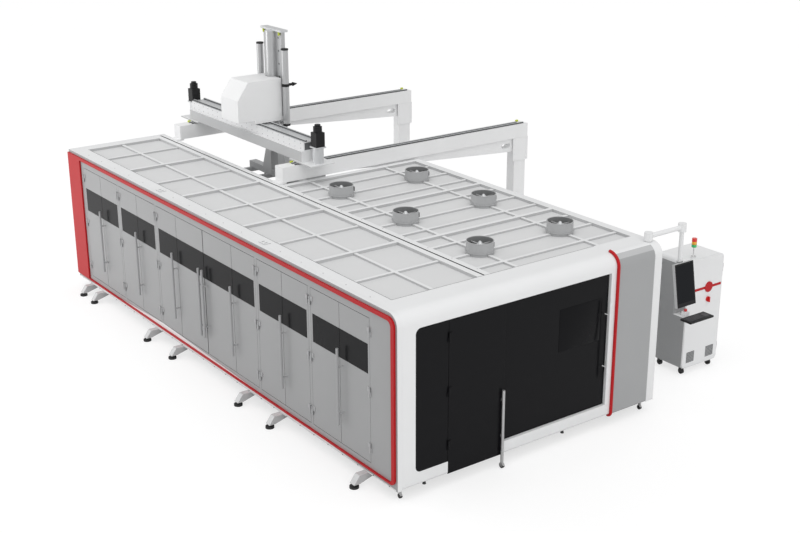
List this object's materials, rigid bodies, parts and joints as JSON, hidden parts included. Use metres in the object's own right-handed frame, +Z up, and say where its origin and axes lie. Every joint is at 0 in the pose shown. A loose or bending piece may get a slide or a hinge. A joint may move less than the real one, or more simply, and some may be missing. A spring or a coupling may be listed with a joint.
{
  "type": "laser cutting machine",
  "caption": "Enclosed sheet laser cutter with side doors, roof fans, exchange table, overhead truss loader with suction frame, swing-arm operator panel and separate power cabinet.",
  "frame": {"origin": "middle of the outer box on the floor", "axes": "+X along the front towards the power cabinet, +Y from the front to the rear, +Z up"},
  "size_m": [6.335, 8.7105, 4.0803],
  "materials": {
    "white_paint": "satin white powder coat",
    "door_paint": "satin light grey powder coat",
    "grey_paint": "satin grey powder coat",
    "dark_paint": "dark grey paint",
    "red_paint": "semi-gloss red paint",
    "dark_pane": "glossy near-black panes",
    "bare_steel": "machined and zinc-plated steel",
    "bare_aluminium": "anodised aluminium",
    "black_casting": "black motor castings",
    "black_rubber": "matt black rubber",
    "black_plastic": "matt black plastic",
    "red_plastic": "glossy red plastic",
    "lamp_plastic": "signal lamp lenses"
  },
  "bodies": {
    "machine": {"base_frame": "dark_paint", "outrigger_brackets": "white_paint", "levelling_feet": "black_rubber", "side_wall": "white_paint", "side_trim": "red_paint", "front_fascia": "white_paint", "corner_panel": "grey_paint", "corner_tube": "red_paint", "roof_frame": "white_paint", "roof_sheets": "white_paint", "plain_walls": "white_paint", "fan_ducts_left": "bare_steel", "fan_ducts_right": "bare_steel", "fixed_pane": "dark_pane", "loader_frame": "white_paint", "loader_tracks": "bare_steel", "panel_base": "grey_paint", "cabinet_shell": "grey_paint", "cabinet_casters": "black_rubber", "signal_lamp": "lamp_plastic", "cutting_bed": "grey_paint", "laser_source": "dark_paint"},
    "bridge": {"bridge": "white_paint", "bridge_drives": "black_casting"},
    "carriage": {"carriage": "white_paint", "balance_cylinders": "bare_aluminium"},
    "lifter": {"lift_column": "bare_aluminium", "suction_frame": "dark_paint", "suction_cups": "black_rubber"},
    "panel_arm": {"panel_arm": "white_paint"},
    "panel": {"panel_hanger": "white_paint", "monitor": "black_plastic", "keyboard_tray": "black_plastic"},
    "fan_1": {"fan_1": "black_casting"},
    "fan_2": {"fan_2": "black_casting"},
    "fan_3": {"fan_3": "black_casting"},
    "fan_4": {"fan_4": "black_casting"},
    "fan_5": {"fan_5": "black_casting"},
    "fan_6": {"fan_6": "black_casting"},
    "swing_door": {"swing_door": "dark_pane"},
    "sliding_door": {"sliding_door": "dark_pane"},
    "door_leaf_1": {"door_leaf_1": "door_paint"},
    "door_leaf_2": {"door_leaf_2": "door_paint"},
    "door_leaf_3": {"door_leaf_3": "door_paint"},
    "door_leaf_4": {"door_leaf_4": "door_paint"},
    "door_leaf_5": {"door_leaf_5": "door_paint"},
    "door_leaf_6": {"door_leaf_6": "door_paint"},
    "door_leaf_7": {"door_leaf_7": "door_paint"},
    "door_leaf_8": {"door_leaf_8": "door_paint"},
    "door_leaf_9": {"door_leaf_9": "door_paint"},
    "door_leaf_10": {"door_leaf_10": "door_paint"},
    "door_leaf_11": {"door_leaf_11": "door_paint"},
    "door_leaf_12": {"door_leaf_12": "door_paint"},
    "stop_button": {"stop_button": "red_plastic"},
    "cabinet_door": {"cabinet_door": "white_paint"},
    "cabinet_switch": {"cabinet_switch": "red_plastic"},
    "gantry_beam": {"gantry_beam": "white_paint"},
    "cutting_carriage": {"cutting_carriage": "red_paint"},
    "cutting_head": {"cutting_head": "bare_aluminium"},
    "exchange_table": {"exchange_table": "bare_steel"}
  },
  "joints": [
    {"name": "leaf_1_hinge", "type": "hinge", "parent": "machine", "child": "door_leaf_1", "pos_m": [-2.9615, -3.66475, 1.1575], "axis": [0, 0, 1], "range_deg": [0, 85]},
    {"name": "leaf_2_hinge", "type": "hinge", "parent": "machine", "child": "door_leaf_2", "pos_m": [-2.9615, -2.48975, 1.1575], "axis": [0, 0, -1], "range_deg": [0, 85]},
    {"name": "leaf_3_hinge", "type": "hinge", "parent": "machine", "child": "door_leaf_3", "pos_m": [-2.9615, -2.43975, 1.1575], "axis": [0, 0, 1], "range_deg": [0, 85]},
    {"name": "leaf_4_hinge", "type": "hinge", "parent": "machine", "child": "door_leaf_4", "pos_m": [-2.9615, -1.28975, 1.1575], "axis": [0, 0, -1], "range_deg": [0, 85]},
    {"name": "leaf_5_hinge", "type": "hinge", "parent": "machine", "child": "door_leaf_5", "pos_m": [-2.9615, -1.23975, 1.1575], "axis": [0, 0, 1], "range_deg": [0, 78]},
    {"name": "leaf_8_hinge", "type": "hinge", "parent": "machine", "child": "door_leaf_8", "pos_m": [-2.9615, 1.41025, 1.1575], "axis": [0, 0, -1], "range_deg": [0, 78]},
    {"name": "leaf_9_hinge", "type": "hinge", "parent": "machine", "child": "door_leaf_9", "pos_m": [-2.9615, 1.46025, 1.1575], "axis": [0, 0, 1], "range_deg": [0, 85]},
    {"name": "leaf_10_hinge", "type": "hinge", "parent": "machine", "child": "door_leaf_10", "pos_m": [-2.9615, 2.61025, 1.1575], "axis": [0, 0, -1], "range_deg": [0, 85]},
    {"name": "leaf_11_hinge", "type": "hinge", "parent": "machine", "child": "door_leaf_11", "pos_m": [-2.9615, 2.66025, 1.1575], "axis": [0, 0, 1], "range_deg": [0, 85]},
    {"name": "leaf_12_hinge", "type": "hinge", "parent": "machine", "child": "door_leaf_12", "pos_m": [-2.9615, 3.83525, 1.1575], "axis": [0, 0, -1], "range_deg": [0, 85]},
    {"name": "leaf_6_fold", "type": "hinge", "parent": "door_leaf_5", "child": "door_leaf_6", "pos_m": [-2.9015, -0.66475, 1.1575], "axis": [0, 0, -1], "range_deg": [0, 156]},
    {"name": "leaf_7_fold", "type": "hinge", "parent": "door_leaf_8", "child": "door_leaf_7", "pos_m": [-2.9015, 0.83525, 1.1575], "axis": [0, 0, 1], "range_deg": [0, 156]},
    {"name": "swing_door_hinge", "type": "hinge", "parent": "machine", "child": "swing_door", "pos_m": [-2.2625, -4.17475, 1.155], "axis": [0, 0, -1], "range_deg": [0, 100]},
    {"name": "sliding_door_slide", "type": "slide", "parent": "machine", "child": "sliding_door", "axis": [-1, 0, 0], "range_m": [0, 1.1]},
    {"name": "fan_1_spin", "type": "hinge", "parent": "machine", "child": "fan_1", "pos_m": [-0.93644, -3.05508, 2.21], "axis": [0, 0, 1], "continuous": true},
    {"name": "fan_2_spin", "type": "hinge", "parent": "machine", "child": "fan_2", "pos_m": [-0.93644, -1.58407, 2.21], "axis": [0, 0, 1], "continuous": true},
    {"name": "fan_3_spin", "type": "hinge", "parent": "machine", "child": "fan_3", "pos_m": [-0.93644, -0.1218, 2.21], "axis": [0, 0, 1], "continuous": true},
    {"name": "fan_4_spin", "type": "hinge", "parent": "machine", "child": "fan_4", "pos_m": [0.33652, -3.05508, 2.21], "axis": [0, 0, 1], "continuous": true},
    {"name": "fan_5_spin", "type": "hinge", "parent": "machine", "child": "fan_5", "pos_m": [0.33652, -1.58407, 2.21], "axis": [0, 0, 1], "continuous": true},
    {"name": "fan_6_spin", "type": "hinge", "parent": "machine", "child": "fan_6", "pos_m": [0.33652, -0.1218, 2.21], "axis": [0, 0, 1], "continuous": true},
    {"name": "bridge_travel", "type": "slide", "parent": "machine", "child": "bridge", "axis": [1, 0, 0], "range_m": [0, 3.3]},
    {"name": "carriage_travel", "type": "slide", "parent": "bridge", "child": "carriage", "axis": [0, 1, 0], "range_m": [-0.5, 0.5]},
    {"name": "lifter_travel", "type": "slide", "parent": "carriage", "child": "lifter", "axis": [0, 0, 1], "range_m": [-0.7, 0]},
    {"name": "panel_arm_swivel", "type": "hinge", "parent": "machine", "child": "panel_arm", "pos_m": [0.8975, -3.99975, 2.26], "axis": [0, 0, 1], "range_deg": [-45, 25]},
    {"name": "panel_swivel", "type": "hinge", "parent": "panel_arm", "child": "panel", "pos_m": [1.4875, -3.99975, 2.24], "axis": [0, 0, 1], "range_deg": [-45, 45]},
    {"name": "stop_button_press", "type": "slide", "parent": "panel", "child": "stop_button", "axis": [0, 0, -1], "range_m": [0, 0.006], "stiffness_N_per_m": 600},
    {"name": "cabinet_door_hinge", "type": "hinge", "parent": "machine", "child": "cabinet_door", "pos_m": [2.7065, -3.67425, 0.85], "axis": [0, 0, 1], "range_deg": [0, 100]},
    {"name": "cabinet_switch_turn", "type": "hinge", "parent": "cabinet_door", "child": "cabinet_switch", "pos_m": [2.4351, -3.68475, 1.0105], "axis": [0, 1, 0], "range_deg": [0, 90]},
    {"name": "gantry_travel", "type": "slide", "parent": "machine", "child": "gantry_beam", "axis": [0, 1, 0], "range_m": [0, 3.4]},
    {"name": "cutting_carriage_travel", "type": "slide", "parent": "gantry_beam", "child": "cutting_carriage", "axis": [1, 0, 0], "range_m": [-0.45, 1.28]},
    {"name": "cutting_head_travel", "type": "slide", "parent": "cutting_carriage", "child": "cutting_head", "axis": [0, 0, 1], "range_m": [-0.03, 0.1]},
    {"name": "exchange_table_travel", "type": "slide", "parent": "machine", "child": "exchange_table", "axis": [0, -1, 0], "range_m": [0, 4.1]}
  ],
  "couplings": [
    {"joint": "leaf_6_fold", "follows": "leaf_5_hinge", "ratio": 2},
    {"joint": "leaf_7_fold", "follows": "leaf_8_hinge", "ratio": 2}
  ]
}
